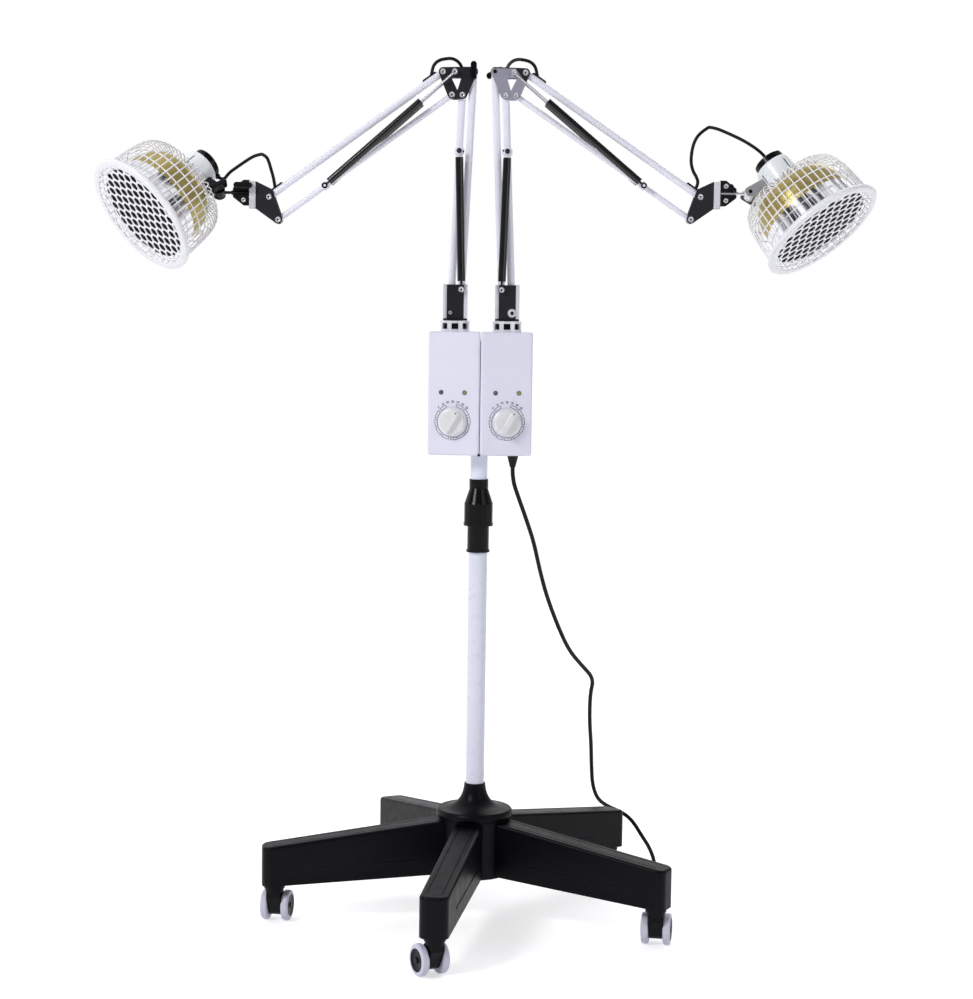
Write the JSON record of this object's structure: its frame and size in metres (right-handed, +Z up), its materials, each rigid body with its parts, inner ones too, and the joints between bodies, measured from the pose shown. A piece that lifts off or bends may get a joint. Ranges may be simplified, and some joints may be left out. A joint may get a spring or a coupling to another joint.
{
  "type": "infrared heat therapy lamp",
  "caption": "Infrared heat therapy lamp on a rolling stand: a five-leg caster base, a telescoping column with timer boxes, and two sprung swing arms with caged lamp heads.",
  "frame": {"origin": "floor plane under the centre of the column", "axes": "+Z up along the column, -Y the front with the timer knobs, +X to the right lamp head"},
  "size_m": [1.2687, 0.691, 1.4159],
  "materials": {
    "base_plastic": "satin moulded black",
    "caster_black": "satin moulded black",
    "caster_tyre": "smooth pale grey tread",
    "white_paint": "semi-gloss white",
    "collet_plastic": "gloss moulded black",
    "box_plastic": "fine satin white",
    "lens": "clear coloured",
    "timer_plastic": "moulded",
    "knob_plastic": "satin silver grey",
    "wing_plastic": "gloss black",
    "dark_steel": "dark bright plated",
    "cord_moulding": "soft moulded black",
    "cord_rubber": "smooth black sheath",
    "chrome": "bright plated",
    "white_bar": "gloss white",
    "sleeve_plastic": "gloss black sleeve",
    "black_steel": "gloss black",
    "cap_plastic": "satin white",
    "reflector": "polished, gold toned towards the rear",
    "guard_white": "white coated wire"
  },
  "bodies": {
    "stand": {"base_star": "base_plastic", "hub_cover": "base_plastic", "lower_tube": "white_paint", "collet_body": "collet_plastic", "mains_cord": "cord_rubber", "cord_coil": "cord_rubber", "plug": "cord_moulding"},
    "column": {"upper_tube": "white_paint", "box_bracket": "dark_steel", "box_front_covers": "box_plastic", "box_rear_covers": "box_plastic", "indicator_lenses": "lens", "timer_units": "timer_plastic", "strain_relief": "cord_moulding", "arm_sockets": "chrome"},
    "collet_nut": {"collet_nut": "collet_plastic"},
    "timer_knob_left": {"timer_knob_left": "knob_plastic"},
    "timer_knob_right": {"timer_knob_right": "knob_plastic"},
    "caster_1": {"caster_body_1": "caster_black"},
    "wheels_1": {"caster_wheels_1": "caster_tyre"},
    "caster_2": {"caster_body_2": "caster_black"},
    "wheels_2": {"caster_wheels_2": "caster_tyre"},
    "caster_3": {"caster_body_3": "caster_black"},
    "wheels_3": {"caster_wheels_3": "caster_tyre"},
    "caster_4": {"caster_body_4": "caster_black"},
    "wheels_4": {"caster_wheels_4": "caster_tyre"},
    "caster_5": {"caster_body_5": "caster_black"},
    "wheels_5": {"caster_wheels_5": "caster_tyre"},
    "left_fork": {"left_arm_fork": "dark_steel"},
    "left_lower_outer_bar": {"left_lower_outer_bar": "white_bar"},
    "left_lower_inner_bar": {"left_lower_inner_bar": "white_bar"},
    "left_lower_springs": {"left_lower_springs": "sleeve_plastic"},
    "left_elbow": {"left_elbow_plates": "black_steel"},
    "left_elbow_knob": {"left_elbow_knob": "wing_plastic"},
    "left_upper_low_bar": {"left_upper_low_bar": "white_bar"},
    "left_upper_top_bar": {"left_upper_top_bar": "white_bar"},
    "left_upper_spring_sleeves": {"left_upper_spring_sleeves": "sleeve_plastic"},
    "left_upper_spring_rods": {"left_upper_spring_rods": "chrome"},
    "left_head_bracket": {"left_head_bracket": "black_steel"},
    "left_stud": {"left_stud": "chrome"},
    "left_lamp": {"left_lamp_cap": "cap_plastic", "left_reflector": "reflector", "left_guard": "guard_white"},
    "left_tilt_knob": {"left_tilt_knob": "wing_plastic"},
    "right_fork": {"right_arm_fork": "dark_steel"},
    "right_lower_outer_bar": {"right_lower_outer_bar": "white_bar"},
    "right_lower_inner_bar": {"right_lower_inner_bar": "white_bar"},
    "right_lower_springs": {"right_lower_springs": "sleeve_plastic"},
    "right_elbow": {"right_elbow_plates": "black_steel"},
    "right_elbow_knob": {"right_elbow_knob": "wing_plastic"},
    "right_upper_low_bar": {"right_upper_low_bar": "white_bar"},
    "right_upper_top_bar": {"right_upper_top_bar": "white_bar"},
    "right_upper_spring_sleeves": {"right_upper_spring_sleeves": "sleeve_plastic"},
    "right_upper_spring_rods": {"right_upper_spring_rods": "chrome"},
    "right_head_bracket": {"right_head_bracket": "black_steel"},
    "right_stud": {"right_stud": "chrome"},
    "right_lamp": {"right_lamp_cap": "cap_plastic", "right_reflector": "reflector", "right_guard": "guard_white"},
    "right_tilt_knob": {"right_tilt_knob": "wing_plastic"}
  },
  "joints": [
    {"name": "caster_1_swivel", "type": "hinge", "parent": "stand", "child": "caster_1", "pos_m": [-0.05748, -0.32597, 0.075], "axis": [0, 0, 1], "continuous": true},
    {"name": "caster_1_roll", "type": "hinge", "parent": "caster_1", "child": "wheels_1", "pos_m": [-0.06524, -0.31198, 0.025], "axis": [0.8746, 0.4848, 0], "continuous": true},
    {"name": "caster_2_swivel", "type": "hinge", "parent": "stand", "child": "caster_2", "pos_m": [0.29226, -0.1554, 0.075], "axis": [0, 0, 1], "continuous": true},
    {"name": "caster_2_roll", "type": "hinge", "parent": "caster_2", "child": "wheels_2", "pos_m": [0.29503, -0.13964, 0.025], "axis": [0.9848, -0.1736, 0], "continuous": true},
    {"name": "caster_3_swivel", "type": "hinge", "parent": "stand", "child": "caster_3", "pos_m": [0.2381, 0.22993, 0.075], "axis": [0, 0, 1], "continuous": true},
    {"name": "caster_3_roll", "type": "hinge", "parent": "caster_3", "child": "wheels_3", "pos_m": [0.23263, 0.24497, 0.025], "axis": [0.9397, 0.342, 0], "continuous": true},
    {"name": "caster_4_swivel", "type": "hinge", "parent": "stand", "child": "caster_4", "pos_m": [-0.1451, 0.2975, 0.075], "axis": [0, 0, 1], "continuous": true},
    {"name": "caster_4_roll", "type": "hinge", "parent": "caster_4", "child": "wheels_4", "pos_m": [-0.15538, 0.30976, 0.025], "axis": [0.766, 0.6428, 0], "continuous": true},
    {"name": "caster_5_swivel", "type": "hinge", "parent": "stand", "child": "caster_5", "pos_m": [-0.32778, -0.04607, 0.075], "axis": [0, 0, 1], "continuous": true},
    {"name": "caster_5_roll", "type": "hinge", "parent": "caster_5", "child": "wheels_5", "pos_m": [-0.325, -0.03031, 0.025], "axis": [0.9848, -0.1736, 0], "continuous": true},
    {"name": "column_slide", "type": "slide", "parent": "stand", "child": "column", "axis": [0, 0, 1], "range_m": [0, 0.28]},
    {"name": "collet_turn", "type": "hinge", "parent": "stand", "child": "collet_nut", "pos_m": [0, 0, 0.69], "axis": [0, 0, 1], "range_deg": [0, 180]},
    {"name": "timer_left_turn", "type": "hinge", "parent": "column", "child": "timer_knob_left", "pos_m": [-0.044, -0.03875, 0.8295], "axis": [0.1644, 0.9864, 0], "range_deg": [-30, 270]},
    {"name": "timer_right_turn", "type": "hinge", "parent": "column", "child": "timer_knob_right", "pos_m": [0.044, -0.03875, 0.8295], "axis": [-0.1644, 0.9864, 0], "range_deg": [-30, 270]},
    {"name": "left_pan", "type": "hinge", "parent": "column", "child": "left_fork", "pos_m": [-0.04225, 0, 0.9925], "axis": [0, 0, 1], "range_deg": [-75, 75]},
    {"name": "left_lower_arm", "type": "hinge", "parent": "left_fork", "child": "left_lower_outer_bar", "pos_m": [-0.05025, 0, 1.0056], "axis": [0, -1, 0], "range_deg": [-1, 45]},
    {"name": "left_lower_inner", "type": "hinge", "parent": "left_fork", "child": "left_lower_inner_bar", "pos_m": [-0.03245, 0, 1.0431], "axis": [0, -1, 0], "range_deg": [-1, 45]},
    {"name": "left_lower_spring", "type": "hinge", "parent": "left_fork", "child": "left_lower_springs", "pos_m": [-0.03245, 0, 1.0431], "axis": [0, -1, 0], "range_deg": [-1.2, 51]},
    {"name": "left_elbow_level", "type": "hinge", "parent": "left_lower_outer_bar", "child": "left_elbow", "pos_m": [-0.03498, 0, 1.35527], "axis": [0, -1, 0], "range_deg": [-45, 1]},
    {"name": "left_elbow_clamp", "type": "hinge", "parent": "left_elbow", "child": "left_elbow_knob", "pos_m": [-0.01718, -0.0135, 1.39277], "axis": [0, -1, 0], "range_deg": [0, 180]},
    {"name": "left_upper_arm", "type": "hinge", "parent": "left_elbow", "child": "left_upper_low_bar", "pos_m": [-0.05158, 0, 1.35527], "axis": [0, -1, 0], "range_deg": [-46, 19]},
    {"name": "left_upper_top", "type": "hinge", "parent": "left_elbow", "child": "left_upper_top_bar", "pos_m": [-0.06648, 0, 1.39152], "axis": [0, -1, 0], "range_deg": [-46, 19]},
    {"name": "left_upper_spring_rod", "type": "hinge", "parent": "left_elbow", "child": "left_upper_spring_rods", "pos_m": [-0.04728, 0, 1.39097], "axis": [0, -1, 0], "range_deg": [-43, 18]},
    {"name": "left_upper_spring_sleeve", "type": "hinge", "parent": "left_upper_low_bar", "child": "left_upper_spring_sleeves", "pos_m": [-0.25487, 0, 1.20703], "axis": [0, -1, 0], "range_deg": [-1.5, 3.5]},
    {"name": "left_bracket_level", "type": "hinge", "parent": "left_upper_low_bar", "child": "left_head_bracket", "pos_m": [-0.33074, 0, 1.1517], "axis": [0, -1, 0], "range_deg": [-19, 46]},
    {"name": "left_stud_turn", "type": "hinge", "parent": "left_head_bracket", "child": "left_stud", "pos_m": [-0.42644, 0, 1.1941], "axis": [-1, 0, 0], "range_deg": [-130.5, 49.5]},
    {"name": "left_lamp_tilt", "type": "hinge", "parent": "left_stud", "child": "left_lamp", "pos_m": [-0.42644, 0, 1.1941], "axis": [0, -0.7604, 0.6494], "range_deg": [-25.4, 34.6]},
    {"name": "left_tilt_clamp", "type": "hinge", "parent": "left_lamp", "child": "left_tilt_knob", "pos_m": [-0.42644, 0, 1.1941], "axis": [0, -0.7604, 0.6494], "range_deg": [0, 180]},
    {"name": "right_pan", "type": "hinge", "parent": "column", "child": "right_fork", "pos_m": [0.04225, 0, 0.9925], "axis": [0, 0, 1], "range_deg": [-75, 75]},
    {"name": "right_lower_arm", "type": "hinge", "parent": "right_fork", "child": "right_lower_outer_bar", "pos_m": [0.05025, 0, 1.0056], "axis": [0, 1, 0], "range_deg": [-1, 45]},
    {"name": "right_lower_inner", "type": "hinge", "parent": "right_fork", "child": "right_lower_inner_bar", "pos_m": [0.03245, 0, 1.0431], "axis": [0, 1, 0], "range_deg": [-1, 45]},
    {"name": "right_lower_spring", "type": "hinge", "parent": "right_fork", "child": "right_lower_springs", "pos_m": [0.03245, 0, 1.0431], "axis": [0, 1, 0], "range_deg": [-1.2, 51]},
    {"name": "right_elbow_level", "type": "hinge", "parent": "right_lower_outer_bar", "child": "right_elbow", "pos_m": [0.03498, 0, 1.35527], "axis": [0, 1, 0], "range_deg": [-45, 1]},
    {"name": "right_elbow_clamp", "type": "hinge", "parent": "right_elbow", "child": "right_elbow_knob", "pos_m": [0.01718, 0.0135, 1.39277], "axis": [0, 1, 0], "range_deg": [0, 180]},
    {"name": "right_upper_arm", "type": "hinge", "parent": "right_elbow", "child": "right_upper_low_bar", "pos_m": [0.05158, 0, 1.35527], "axis": [0, 1, 0], "range_deg": [-46, 19]},
    {"name": "right_upper_top", "type": "hinge", "parent": "right_elbow", "child": "right_upper_top_bar", "pos_m": [0.06648, 0, 1.39152], "axis": [0, 1, 0], "range_deg": [-46, 19]},
    {"name": "right_upper_spring_rod", "type": "hinge", "parent": "right_elbow", "child": "right_upper_spring_rods", "pos_m": [0.04728, 0, 1.39097], "axis": [0, 1, 0], "range_deg": [-43, 18]},
    {"name": "right_upper_spring_sleeve", "type": "hinge", "parent": "right_upper_low_bar", "child": "right_upper_spring_sleeves", "pos_m": [0.25968, 0, 1.21385], "axis": [0, 1, 0], "range_deg": [-1.5, 3.5]},
    {"name": "right_bracket_level", "type": "hinge", "parent": "right_upper_low_bar", "child": "right_head_bracket", "pos_m": [0.33734, 0, 1.16107], "axis": [0, 1, 0], "range_deg": [-19, 46]},
    {"name": "right_stud_turn", "type": "hinge", "parent": "right_head_bracket", "child": "right_stud", "pos_m": [0.43304, 0, 1.20347], "axis": [1, 0, 0], "range_deg": [-61.6, 118.4]},
    {"name": "right_lamp_tilt", "type": "hinge", "parent": "right_stud", "child": "right_lamp", "pos_m": [0.43304, 0, 1.20347], "axis": [0, 0.8796, -0.4756], "range_deg": [-32.4, 27.6]},
    {"name": "right_tilt_clamp", "type": "hinge", "parent": "right_lamp", "child": "right_tilt_knob", "pos_m": [0.43304, 0, 1.20347], "axis": [0, 0.8796, -0.4756], "range_deg": [0, 180]}
  ],
  "couplings": [
    {"joint": "left_lower_inner", "follows": "left_lower_arm", "ratio": 1},
    {"joint": "left_lower_spring", "follows": "left_lower_arm", "ratio": 1.12},
    {"joint": "left_elbow_level", "follows": "left_lower_arm", "ratio": -1},
    {"joint": "left_upper_top", "follows": "left_upper_arm", "ratio": 1},
    {"joint": "left_upper_spring_rod", "follows": "left_upper_arm", "ratio": 0.928},
    {"joint": "left_upper_spring_sleeve", "follows": "left_upper_arm", "ratio": -0.072},
    {"joint": "left_bracket_level", "follows": "left_upper_arm", "ratio": -1},
    {"joint": "right_lower_inner", "follows": "right_lower_arm", "ratio": 1},
    {"joint": "right_lower_spring", "follows": "right_lower_arm", "ratio": 1.12},
    {"joint": "right_elbow_level", "follows": "right_lower_arm", "ratio": -1},
    {"joint": "right_upper_top", "follows": "right_upper_arm", "ratio": 1},
    {"joint": "right_upper_spring_rod", "follows": "right_upper_arm", "ratio": 0.928},
    {"joint": "right_upper_spring_sleeve", "follows": "right_upper_arm", "ratio": -0.072},
    {"joint": "right_bracket_level", "follows": "right_upper_arm", "ratio": -1}
  ]
}
